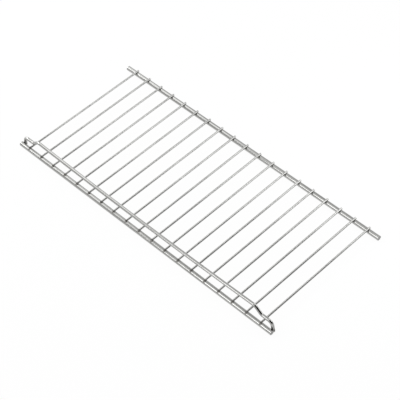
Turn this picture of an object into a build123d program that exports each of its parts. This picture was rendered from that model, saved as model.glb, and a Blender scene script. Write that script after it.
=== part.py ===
"""Refrigerator wire shelf: two thick rails, a row of cross wires welded on top, and a bent guard rail.

Millimetres, +Z up. The shelf lies on its two rails, with the origin under its middle.
X runs along the rails, and the guard rail is on the -Y side, the front.
"""
from build123d import *
import math
import os

# Rails: the two thick wires that carry the grid
rail_diameter = 6.0
rail_length = 410.0
rail_spacing = 178.6

# Cross wires: evenly spread over the rails, with a bare length of rail left at each end
wire_diameter = 2.5
wire_count = 19
rail_overhang = 16.0
wire_front_lap = 0.9
wire_rear_lap = 2.8

# Depth to which a welded wire sinks into the rail that it lies on
weld_set_down = 0.62

# Guard rail: heights are clear heights above the tops of the cross wires
guard_diameter = 4.0
guard_run_clearance = 11.5
guard_shoulder_clearance = 3.9
guard_sag = 3.1
guard_run_lead = 8.0
guard_step_length = 10.0
guard_shoulder_length = 15.0
guard_leg_lean = 2.0
guard_foot_drop = 2.6
guard_foot_inset = 2.0
guard_corner_radius = 6.0
guard_step_radius = 6.0

# Places that follow from the sizes above
rail_radius = rail_diameter / 2
wire_radius = wire_diameter / 2
guard_radius = guard_diameter / 2
front_rail_y = -rail_spacing / 2
rear_rail_y = rail_spacing / 2
rail_end_x = rail_length / 2
wire_axis_z = rail_diameter + wire_radius - weld_set_down
wire_top_z = wire_axis_z + wire_radius
wire_front_y = front_rail_y - wire_front_lap
wire_rear_y = rear_rail_y + wire_rear_lap
first_wire_x = rail_overhang - rail_end_x
wire_pitch = (rail_length - 2 * rail_overhang) / (wire_count - 1)
guard_y = front_rail_y + rail_radius + guard_radius - weld_set_down


def make_rail(y, length):
    """Straight round bar along X, sheared square at both ends and lying on the ground."""
    return Pos(0, y, rail_radius) * Rot(0, 90, 0) * Cylinder(rail_radius, length)


def rail_seats():
    """Space that the two rails take from the wires that are welded to them, open past the rail ends."""
    seat_length = rail_length + 2 * rail_diameter
    return [make_rail(front_rail_y, seat_length), make_rail(rear_rail_y, seat_length)]


def make_cross_wire(x):
    """Straight wire, sheared square at both ends, with a saddle where it sinks into each rail."""
    bar = Rot(90, 0, 0) * Cylinder(wire_radius, wire_rear_y - wire_front_y)
    middle_y = (wire_front_y + wire_rear_y) / 2
    return Pos(x, middle_y, wire_axis_z) * bar - rail_seats()


def guard_corners():
    """Corners of the guard rail's centre line from the right foot to the left one, with each bend radius."""
    run_z = wire_top_z + guard_run_clearance + guard_radius
    shoulder_z = wire_top_z + guard_shoulder_clearance + guard_radius
    foot_x = rail_end_x - guard_foot_inset
    foot_z = rail_radius - guard_foot_drop
    corner_x = foot_x - guard_leg_lean
    step_foot_x = corner_x - guard_shoulder_length
    step_head_x = step_foot_x - guard_step_length

    # The long run leaves each step on a short straight lead, then hangs in one shallow arc
    sag_slope = 2 * guard_sag / (step_head_x + guard_run_lead)
    sag_corner_z = run_z - sag_slope * step_head_x
    half_run = math.hypot(step_head_x, step_head_x * sag_slope)
    sag_radius = (half_run - guard_run_lead) / sag_slope

    right = [(foot_x, foot_z), (corner_x, shoulder_z), (step_foot_x, shoulder_z), (step_head_x, run_z)]
    left = [(-x, z) for x, z in reversed(right)]
    bends = [guard_corner_radius, guard_step_radius, guard_step_radius]
    corners = right + [(0, sag_corner_z)] + left
    return [(x, guard_y, z) for x, z in corners], bends + [sag_radius] + bends[::-1]


def make_guard_rail():
    """One bent wire from foot to foot, saddled where each foot sinks into the front rail."""
    corners, radii = guard_corners()
    path = FilletPolyline(*corners, radius=radii)
    section = Plane(origin=path @ 0, z_dir=path % 0) * Circle(guard_radius)
    return sweep(section, path=path) - rail_seats()


def save(shape, node):
    """Write one sub-part under its node name."""
    export_step(shape, f"parts/{node}.step")


os.makedirs("parts", exist_ok=True)
save(make_rail(front_rail_y, rail_length), "front_rail")
save(make_rail(rear_rail_y, rail_length), "rear_rail")
save(make_guard_rail(), "guard_rail")
for index in range(wire_count):
    save(make_cross_wire(first_wire_x + index * wire_pitch), f"cross_wire_{index + 1:02d}")
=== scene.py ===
import bpy
import math
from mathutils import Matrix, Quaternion, Vector


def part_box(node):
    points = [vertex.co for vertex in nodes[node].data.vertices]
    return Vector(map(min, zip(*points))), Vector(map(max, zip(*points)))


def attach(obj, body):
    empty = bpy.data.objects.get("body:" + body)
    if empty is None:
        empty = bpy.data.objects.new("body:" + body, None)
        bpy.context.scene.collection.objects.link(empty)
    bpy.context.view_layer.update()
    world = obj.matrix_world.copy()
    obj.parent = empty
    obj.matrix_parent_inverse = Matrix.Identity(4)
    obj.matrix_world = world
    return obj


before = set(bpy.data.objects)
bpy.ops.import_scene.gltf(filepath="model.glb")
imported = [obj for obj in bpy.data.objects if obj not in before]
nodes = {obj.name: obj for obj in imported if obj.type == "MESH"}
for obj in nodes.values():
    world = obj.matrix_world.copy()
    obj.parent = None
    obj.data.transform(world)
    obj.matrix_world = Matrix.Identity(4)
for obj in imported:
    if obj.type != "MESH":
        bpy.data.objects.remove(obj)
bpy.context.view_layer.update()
scene = bpy.context.scene
print("frame loaded:", len(nodes), "nodes")


def middleOf(name):
    low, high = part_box(name)
    return (low + high) / 2


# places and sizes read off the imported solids
wireNames = sorted(name for name in nodes if name.startswith("cross_wire_"))
wireX = [middleOf(name).x for name in wireNames]
wirePitch = (wireX[-1] - wireX[0]) / (len(wireX) - 1)
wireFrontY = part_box(wireNames[0])[0].y
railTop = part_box("front_rail")[1].z
railRadius = railTop / 2
frontY = middleOf("front_rail").y
rearY = middleOf("rear_rail").y
guardLow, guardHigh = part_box("guard_rail")
guardRadius = (guardHigh.y - guardLow.y) / 2
footX = guardHigh.x - guardRadius
print("wire pitch", round(wirePitch, 5), "rail radius", round(railRadius, 5))


# shader node with its inputs: a socket is linked, anything else is set as a value
def addNode(tree, kind, inputs=None, **settings):
    made = tree.nodes.new(kind)
    for name, value in settings.items():
        setattr(made, name, value)
    for name, value in (inputs or {}).items():
        if isinstance(value, bpy.types.NodeSocket):
            tree.links.new(value, made.inputs[name])
        else:
            made.inputs[name].default_value = value
    return made


def doMath(tree, operation, first, second=0.0):
    return addNode(tree, "ShaderNodeMath", {0: first, 1: second}, operation=operation).outputs["Value"]


def axesOf(tree, vector):
    return addNode(tree, "ShaderNodeSeparateXYZ", {"Vector": vector}).outputs


def fade(tree, value, start, end, low=0.0, high=1.0):
    inputs = {"Value": value, "From Min": start, "From Max": end, "To Min": low, "To Max": high}
    return addNode(tree, "ShaderNodeMapRange", inputs, interpolation_type="SMOOTHSTEP").outputs["Result"]


grainStep = (0.37, 0.71, 0.53)  # how far a seed of 1 moves the noise, in cells
grainRoughness = 0.6


def grain(tree, place, size, detail, seed):
    scale = tuple(1 / length for length in size)  # one noise cell has this size in metres
    shift = tuple(step * seed for step in grainStep)
    spread = addNode(tree, "ShaderNodeMapping", {"Vector": place, "Scale": scale, "Location": shift})
    noise = addNode(tree, "ShaderNodeTexNoise", {
        "Vector": spread.outputs["Vector"],
        "Scale": 1.0,
        "Detail": detail,
        "Roughness": grainRoughness,
    })
    return noise.outputs["Fac"]


def blendColour(tree, factor, first, second):
    mix = addNode(tree, "ShaderNodeMix", {"Factor": factor}, data_type="RGBA")
    for socket, value in ((mix.inputs[6], first), (mix.inputs[7], second)):  # the colour sockets A and B
        if isinstance(value, bpy.types.NodeSocket):
            tree.links.new(value, socket)
        else:
            socket.default_value = (*value, 1.0)
    return mix.outputs[2]  # the colour result


# plated drawn wire: streaks along the wire, greyed patches, dark spots at the welds that are part weld burn
# and part painted contact shade, dull sheared ends
platedSteel = {
    "bright": (0.42, 0.42, 0.41),
    "greyed": (0.36, 0.36, 0.35),
    # weld burn colour, also used as painted contact shade where the wires meet the rails and where the
    # guard stands on the front rail
    "burnt": (0.16, 0.155, 0.145),
    "sheared": (0.24, 0.24, 0.235),
    "polish": 0.09,  # roughness where the plating is bright
    "haze": 0.17,  # roughness where it has greyed
    "burnAndShadeRoughness": 0.55,
    "streakLength": 0.110,
    "streakWidth": 0.0024,
    "streakDetail": 3.0,
    "patchSize": 0.030,
    "patchDetail": 2.0,
    "wornFrom": 0.85,  # sum of streaks and patches at which greying starts
    "wornFull": 1.2,
    "drawLineLength": 0.020,
    "drawLineWidth": 0.00022,
    "drawLineDepth": 0.000002,
    "drawLineDetail": 2.0,
    "drawLineStrength": 0.5,
    "endFacing": 0.95,  # a face that looks along the wire more than this is a sheared end
    "burnAndShadeReach": 0.0019,
    "burnAndShadeCore": 0.35,  # share of the reach that is fully dark with weld burn and painted shade
    "burnAndShadeTopFrom": 1.3,  # heights in rail radii between which a rail's spots of burn and painted shade come in
    "burntTopFull": 1.9,
    "burnAndShadeBehind": 0.6,  # depth behind the rail's middle, in rail radii, of a full spot of burn and painted shade at a guard foot
    "burnAndShadeLeg": 2.4,  # height in rail radii up to which a guard leg is darkened with weld burn and painted shade
}
grainSeeds = {"front": 3.0, "rear": 7.0, "guard": 11.0, "wire": 17.0}


def steelMaterial(name, axis, burnAndShadeMask, steel, seed):
    material = bpy.data.materials.new(name)
    material.use_nodes = True
    tree = material.node_tree
    shader = tree.nodes["Principled BSDF"]
    place = addNode(tree, "ShaderNodeTexCoord").outputs["Object"]

    def along(length, width):
        return tuple(length if index == axis else width for index in range(3))

    streakSize = along(steel["streakLength"], steel["streakWidth"])
    streaks = grain(tree, place, streakSize, steel["streakDetail"], seed)
    patches = grain(tree, place, (steel["patchSize"],) * 3, steel["patchDetail"], seed + 1)
    worn = fade(tree, doMath(tree, "ADD", streaks, patches), steel["wornFrom"], steel["wornFull"])
    # mask of weld burn and painted contact shade
    burnt = burnAndShadeMask(tree, place, steel)

    normal = addNode(tree, "ShaderNodeNewGeometry").outputs["Normal"]
    facing = doMath(tree, "ABSOLUTE", axesOf(tree, normal)[axis])
    sheared = doMath(tree, "GREATER_THAN", facing, steel["endFacing"])

    colour = blendColour(tree, worn, steel["bright"], steel["greyed"])
    colour = blendColour(tree, sheared, colour, steel["sheared"])
    # painted contact shade and weld burn darken the colour here
    colour = blendColour(tree, burnt, colour, steel["burnt"])
    gloss = fade(tree, worn, 0.0, 1.0, steel["polish"], steel["haze"])
    rough = doMath(tree, "MULTIPLY", burnt, steel["burnAndShadeRoughness"])
    gloss = doMath(tree, "MAXIMUM", gloss, rough)
    lineSize = along(steel["drawLineLength"], steel["drawLineWidth"])
    lines = grain(tree, place, lineSize, steel["drawLineDetail"], seed + 2)
    bump = addNode(tree, "ShaderNodeBump", {
        "Height": lines,
        "Strength": steel["drawLineStrength"],
        "Distance": steel["drawLineDepth"],
    })

    shader.inputs["Metallic"].default_value = 1.0
    tree.links.new(colour, shader.inputs["Base Color"])
    tree.links.new(gloss, shader.inputs["Roughness"])
    tree.links.new(bump.outputs["Normal"], shader.inputs["Normal"])
    return material


# dark spots of weld burn and painted contact shade: a mask for each family of wire, made from where its
# welds are
def spots(tree, distance, reach, steel):
    return fade(tree, distance, reach * steel["burnAndShadeCore"], reach, 1.0, 0.0)


# only the front ends get burn and painted shade, the rear ends run on past the weld
def wireBurnAndPaintedShade(tree, place, steel):
    fromEnd = doMath(tree, "SUBTRACT", axesOf(tree, place)["Y"], wireFrontY)
    return spots(tree, fromEnd, steel["burnAndShadeReach"], steel)


# painted shade and weld burn on each rail's top beside every crossing
def railBurnAndPaintedShade(tree, place, steel):
    axes = axesOf(tree, place)
    fromFirst = doMath(tree, "SUBTRACT", axes["X"], wireX[0])
    fromWire = doMath(tree, "PINGPONG", fromFirst, wirePitch / 2)
    onTop = fade(tree, axes["Z"], railRadius * steel["burnAndShadeTopFrom"], railRadius * steel["burntTopFull"])
    return doMath(tree, "MULTIPLY", spots(tree, fromWire, steel["burnAndShadeReach"], steel), onTop)


# the front rail also gets a spot of painted shade and weld burn behind each guard foot
def frontRailBurnAndPaintedShade(tree, place, steel):
    axes = axesOf(tree, place)
    fromMiddle = doMath(tree, "ABSOLUTE", axes["X"])
    fromFoot = doMath(tree, "ABSOLUTE", doMath(tree, "SUBTRACT", fromMiddle, footX))
    behind = fade(tree, axes["Y"], frontY, frontY + railRadius * steel["burnAndShadeBehind"])
    footSpot = doMath(tree, "MULTIPLY", spots(tree, fromFoot, steel["burnAndShadeReach"], steel), behind)
    return doMath(tree, "MAXIMUM", railBurnAndPaintedShade(tree, place, steel), footSpot)


# the guard legs get darker towards their feet: painted shade and weld burn
def guardBurnAndPaintedShade(tree, place, steel):
    return spots(tree, axesOf(tree, place)["Z"], railRadius * steel["burnAndShadeLeg"], steel)


alongX, alongY = 0, 1
finishes = {
    "front_rail": steelMaterial("frontRailSteel", alongX, frontRailBurnAndPaintedShade, platedSteel, grainSeeds["front"]),
    "rear_rail": steelMaterial("rearRailSteel", alongX, railBurnAndPaintedShade, platedSteel, grainSeeds["rear"]),
    "guard_rail": steelMaterial("guardRailSteel", alongX, guardBurnAndPaintedShade, platedSteel, grainSeeds["guard"]),
}
wireSteel = steelMaterial("crossWireSteel", alongY, wireBurnAndPaintedShade, platedSteel, grainSeeds["wire"])
for name, node in nodes.items():
    node.material_slots[0].material = finishes.get(name, wireSteel)
print("plated steel on", len(nodes), "nodes")


# weld flash: metal squeezed out on both sides of every welded crossing and round the guard's two feet
weldFlash = {
    "crossingSize": (0.0018, 0.0012, 0.0006),  # half sizes of a bead
    "footSize": (0.0017, 0.0010, 0.0024),
    "legLean": 0.0004,  # the leg leans inwards from its foot to the middle of the rail
    "sizeSpread": 0.18,
    "seed": 4,
    "beadSubdivisions": 3,
    "unevenness": 0.00018,
    "lumpSize": 0.0011,
    "lumpDetail": 2.0,
    "dark": (0.19, 0.185, 0.175),
    "light": (0.36, 0.355, 0.345),
    "stainSize": 0.0012,
    "stainDetail": 4.0,
    "stainSeed": 23.0,
    "stainFrom": 0.40,  # noise values between which dark turns to light
    "stainFull": 0.65,
    "dullFrom": 0.3,  # noise values between which dull turns to glossy
    "dullFull": 0.7,
    "dull": 0.6,
    "glossy": 0.35,
    "pitSize": 0.0004,
    "pitDetail": 2.0,
    "pitSeed": 29.0,
    "pitDepth": 0.00004,
    "pitStrength": 0.6,
}


def flashMaterial(flash):
    material = bpy.data.materials.new("weldFlashSteel")
    material.use_nodes = True
    tree = material.node_tree
    shader = tree.nodes["Principled BSDF"]
    place = addNode(tree, "ShaderNodeTexCoord").outputs["Object"]
    stains = grain(tree, place, (flash["stainSize"],) * 3, flash["stainDetail"], flash["stainSeed"])
    pits = grain(tree, place, (flash["pitSize"],) * 3, flash["pitDetail"], flash["pitSeed"])
    paleness = fade(tree, stains, flash["stainFrom"], flash["stainFull"])
    colour = blendColour(tree, paleness, flash["dark"], flash["light"])
    gloss = fade(tree, stains, flash["dullFrom"], flash["dullFull"], flash["dull"], flash["glossy"])
    bump = addNode(tree, "ShaderNodeBump", {
        "Height": pits,
        "Strength": flash["pitStrength"],
        "Distance": flash["pitDepth"],
    })
    shader.inputs["Metallic"].default_value = 1.0
    tree.links.new(colour, shader.inputs["Base Color"])
    tree.links.new(gloss, shader.inputs["Roughness"])
    tree.links.new(bump.outputs["Normal"], shader.inputs["Normal"])
    return material


beadInputs = {
    "Geometry": "NodeSocketGeometry",
    "Size": "NodeSocketVector",
    "Size Spread": "NodeSocketFloat",
    "Unevenness": "NodeSocketFloat",
    "Lump Size": "NodeSocketFloat",
    "Lump Detail": "NodeSocketFloat",
    "Subdivisions": "NodeSocketInt",
    "Seed": "NodeSocketInt",
    "Material": "NodeSocketMaterial",
}


# one lumpy bead on each point
def flashTree():
    tree = bpy.data.node_groups.new("weldFlashBeads", "GeometryNodeTree")
    for name, kind in beadInputs.items():
        tree.interface.new_socket(name, in_out="INPUT", socket_type=kind)
    tree.interface.new_socket("Geometry", in_out="OUTPUT", socket_type="NodeSocketGeometry")
    given = tree.nodes.new("NodeGroupInput").outputs
    result = tree.nodes.new("NodeGroupOutput")

    ball = addNode(tree, "GeometryNodeMeshIcoSphere", {
        "Radius": 1.0,
        "Subdivisions": given["Subdivisions"],
    })
    least = doMath(tree, "SUBTRACT", 1.0, given["Size Spread"])
    most = doMath(tree, "ADD", 1.0, given["Size Spread"])
    limits = {2: least, 3: most, "Seed": given["Seed"]}  # 2 and 3 are the float sockets Min and Max
    vary = addNode(tree, "FunctionNodeRandomValue", limits, data_type="FLOAT").outputs[1]
    size = addNode(tree, "ShaderNodeVectorMath", {0: given["Size"], "Scale": vary}, operation="SCALE")
    beads = addNode(tree, "GeometryNodeInstanceOnPoints", {
        "Points": given["Geometry"],
        "Instance": ball.outputs["Mesh"],
        "Scale": size.outputs["Vector"],
    })
    solid = addNode(tree, "GeometryNodeRealizeInstances", {"Geometry": beads.outputs["Instances"]})

    place = tree.nodes.new("GeometryNodeInputPosition").outputs["Position"]
    outward = tree.nodes.new("GeometryNodeInputNormal").outputs["Normal"]
    lumps = addNode(tree, "ShaderNodeTexNoise", {
        "Vector": place,
        "Scale": doMath(tree, "DIVIDE", 1.0, given["Lump Size"]),
        "Detail": given["Lump Detail"],
    })
    noiseMiddle = 0.5
    swing = doMath(tree, "SUBTRACT", lumps.outputs["Fac"], noiseMiddle)
    rise = doMath(tree, "MULTIPLY", swing, given["Unevenness"])
    push = addNode(tree, "ShaderNodeVectorMath", {0: outward, "Scale": rise}, operation="SCALE")
    lumpy = addNode(tree, "GeometryNodeSetPosition", {
        "Geometry": solid.outputs["Geometry"],
        "Offset": push.outputs["Vector"],
    })
    smooth = addNode(tree, "GeometryNodeSetShadeSmooth", {"Geometry": lumpy.outputs["Geometry"]})
    painted = addNode(tree, "GeometryNodeSetMaterial", {
        "Geometry": smooth.outputs["Geometry"],
        "Material": given["Material"],
    })
    tree.links.new(painted.outputs["Geometry"], result.inputs["Geometry"])
    return tree


def socketOf(tree, name):
    return next(item.identifier for item in tree.interface.items_tree if item.name == name)


def addFlash(name, points, size, tree, material, flash):
    mesh = bpy.data.meshes.new(name + "Points")
    mesh.from_pydata(points, [], [])
    maker = bpy.data.objects.new(name + "Maker", mesh)
    scene.collection.objects.link(maker)
    modifier = maker.modifiers.new("beads", "NODES")
    modifier.node_group = tree
    settings = {
        "Size": size,
        "Size Spread": flash["sizeSpread"],
        "Unevenness": flash["unevenness"],
        "Lump Size": flash["lumpSize"],
        "Lump Detail": flash["lumpDetail"],
        "Subdivisions": flash["beadSubdivisions"],
        "Seed": flash["seed"],
        "Material": material,
    }
    for socket, value in settings.items():
        modifier[socketOf(tree, socket)] = value
    seen = maker.evaluated_get(bpy.context.evaluated_depsgraph_get())
    piece = bpy.data.objects.new(name, bpy.data.meshes.new_from_object(seen))
    scene.collection.objects.link(piece)
    bpy.data.objects.remove(maker)
    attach(piece, "root")
    print(name, len(piece.data.polygons), "faces")


beadTree = flashTree()
beadSteel = flashMaterial(weldFlash)
crossings = [(x, y, railTop) for y in (frontY, rearY) for x in wireX]
legX = footX - weldFlash["legLean"]
feet = [(side * legX, frontY + railRadius, railRadius) for side in (-1, 1)]
addFlash("crossing_flash", crossings, weldFlash["crossingSize"], beadTree, beadSteel, weldFlash)
addFlash("foot_flash", feet, weldFlash["footSize"], beadTree, beadSteel, weldFlash)


# floor: plain white, with a small share of real light that keeps the shadow
paleFloor = {"size": 24.0, "colour": (0.93, 0.93, 0.93), "whiteShare": 0.96}


def floorMaterial(pale):
    material = bpy.data.materials.new("paleFloor")
    material.use_nodes = True
    tree = material.node_tree
    tree.nodes.remove(tree.nodes["Principled BSDF"])
    path = addNode(tree, "ShaderNodeLightPath").outputs
    seen = doMath(tree, "MAXIMUM", path["Is Camera Ray"], path["Is Glossy Ray"])
    seen = doMath(tree, "MAXIMUM", seen, path["Is Transmission Ray"])
    share = doMath(tree, "MULTIPLY", seen, pale["whiteShare"])
    matt = addNode(tree, "ShaderNodeBsdfDiffuse", {"Color": (*pale["colour"], 1.0)}).outputs["BSDF"]
    white = addNode(tree, "ShaderNodeEmission", {"Color": (1.0, 1.0, 1.0, 1.0), "Strength": 1.0})
    mix = addNode(tree, "ShaderNodeMixShader", {0: share, 1: matt, 2: white.outputs["Emission"]})
    tree.links.new(mix.outputs["Shader"], tree.nodes["Material Output"].inputs["Surface"])
    return material


def addFloor(pale):
    half = pale["size"] / 2
    corners = [(-half, -half, 0), (half, -half, 0), (half, half, 0), (-half, half, 0)]
    mesh = bpy.data.meshes.new("floor")
    mesh.from_pydata(corners, [], [(0, 1, 2, 3)])
    mesh.materials.append(floorMaterial(pale))
    floor = bpy.data.objects.new("floor", mesh)
    scene.collection.objects.link(floor)


addFloor(paleFloor)
print("floor laid")


# studio: softboxes that face the shelf, each at (bearing from +X towards +Y, height angle, distance)
softboxes = {
    "leftKey": {"at": (195, 36, 2.0), "size": (1.40, 0.40), "level": 3.4},
    "leftAccent": {"at": (207, 33, 2.0), "size": (0.60, 0.40), "level": 2.8},
    "leftTop": {"at": (190, 55, 2.0), "size": (0.80, 0.40), "level": 0.6},
    "nearLeft": {"at": (165, 42, 0.7), "size": (0.80, 0.50), "level": 0.3},
    "nearLeftLow": {"at": (180, 12, 0.7), "size": (0.60, 0.25), "level": 0.9},
    "nearLeftFront": {"at": (215, 35, 0.7), "size": (0.50, 0.40), "level": 0.3},
    "frontKey": {"at": (245, 34, 2.0), "size": (0.45, 0.80), "level": 2.6},
    "frontLow": {"at": (262, 20, 2.0), "size": (0.50, 0.50), "level": 2.6},
    "overRear": {"at": (61, 53, 0.45), "size": (0.13, 0.26), "level": 1.2},
    "lowRear": {"at": (48, 26, 0.50), "size": (0.30, 0.16), "level": 2.6},
    "overLeft": {"at": (151, 40, 0.63), "size": (0.22, 0.22), "level": 0.5},
    "rearTop": {"at": (90, 58, 2.0), "size": (1.00, 0.80), "level": 0.7},
    "rearLow": {"at": (90, 20, 2.0), "size": (1.40, 0.60), "level": 0.2},
}
panelPower = 4.0  # watts for each square metre of panel that make it as bright as a room of level 1

# white room with dark sides: each side takes its share off the room's level and fades out at its width
studioRoom = {
    "level": 1.05,
    "darkSides": {
        "overhead": {"bearing": 340.0, "height": 65.0, "width": 40.0, "share": 0.75},
        "cameraSide": {"bearing": 325.0, "height": 32.0, "width": 45.0, "share": 0.90},
        "lowFront": {"bearing": 265.0, "height": 15.0, "width": 35.0, "share": 0.60},
        "leftFront": {"bearing": 230.0, "height": 25.0, "width": 30.0, "share": 0.45},
        "rearLeft": {"bearing": 130.0, "height": 40.0, "width": 35.0, "share": 0.45},
        "rearRight": {"bearing": 38.0, "height": 38.0, "width": 50.0, "share": 1.0},
    },
}


def directionOf(bearing, height):
    turn = math.radians(bearing)
    rise = math.radians(height)
    return Vector((math.cos(rise) * math.cos(turn), math.cos(rise) * math.sin(turn), math.sin(rise)))


def addSoftbox(name, panel):
    bearing, height, distance = panel["at"]
    wide, tall = panel["size"]
    towards = directionOf(bearing, height)
    data = bpy.data.lights.new(name, "AREA")
    data.shape = "RECTANGLE"
    data.size = wide
    data.size_y = tall
    data.energy = panelPower * panel["level"] * wide * tall
    lamp = bpy.data.objects.new(name, data)
    scene.collection.objects.link(lamp)
    lamp.location = towards * distance
    lamp.rotation_euler = towards.to_track_quat("Z", "Y").to_euler()


def addRoom(room):
    world = bpy.data.worlds.new("studioRoom")
    scene.world = world
    world.use_nodes = True
    tree = world.node_tree
    outlook = addNode(tree, "ShaderNodeTexCoord").outputs["Generated"]
    level = room["level"]
    for side in room["darkSides"].values():
        towards = directionOf(side["bearing"], side["height"])
        facing = addNode(tree, "ShaderNodeVectorMath", {0: outlook, 1: towards}, operation="DOT_PRODUCT")
        edge = math.cos(math.radians(side["width"]))
        taken = fade(tree, facing.outputs["Value"], edge, 1.0, 0.0, side["share"])
        level = doMath(tree, "SUBTRACT", level, taken)
    backdrop = tree.nodes["Background"]
    backdrop.inputs["Color"].default_value = (1.0, 1.0, 1.0, 1.0)
    tree.links.new(doMath(tree, "MAXIMUM", level, 0.0), backdrop.inputs["Strength"])


for boxName, panel in softboxes.items():
    addSoftbox(boxName, panel)
addRoom(studioRoom)
scene.view_settings.view_transform = "Standard"
print("studio lit by", len(softboxes), "softboxes,", len(studioRoom["darkSides"]), "sides of the room dark")


# camera: placed by the angle it looks from and the point it looks at
shelfView = {
    "lookAt": (0.01899, -0.00942, 0.00663),
    "azimuth": 46.57,
    "elevation": 48.92,
    "roll": -2.81,
    "distance": 1.61034,
    "lens": 125.32,
    "sensorWidth": 36.0,
}


def addCamera(view):
    frontBearing = -90.0  # azimuth counts from the front, -Y, towards +X
    back = directionOf(frontBearing + view["azimuth"], view["elevation"])
    data = bpy.data.cameras.new("shelfCamera")
    data.lens = view["lens"]
    data.sensor_width = view["sensorWidth"]
    camera = bpy.data.objects.new("shelfCamera", data)
    scene.collection.objects.link(camera)
    camera.location = Vector(view["lookAt"]) + back * view["distance"]
    camera.rotation_mode = "QUATERNION"
    roll = Quaternion((0, 0, 1), math.radians(view["roll"]))
    camera.rotation_quaternion = (-back).to_track_quat("-Z", "Y") @ roll
    scene.camera = camera


addCamera(shelfView)
print("camera placed")
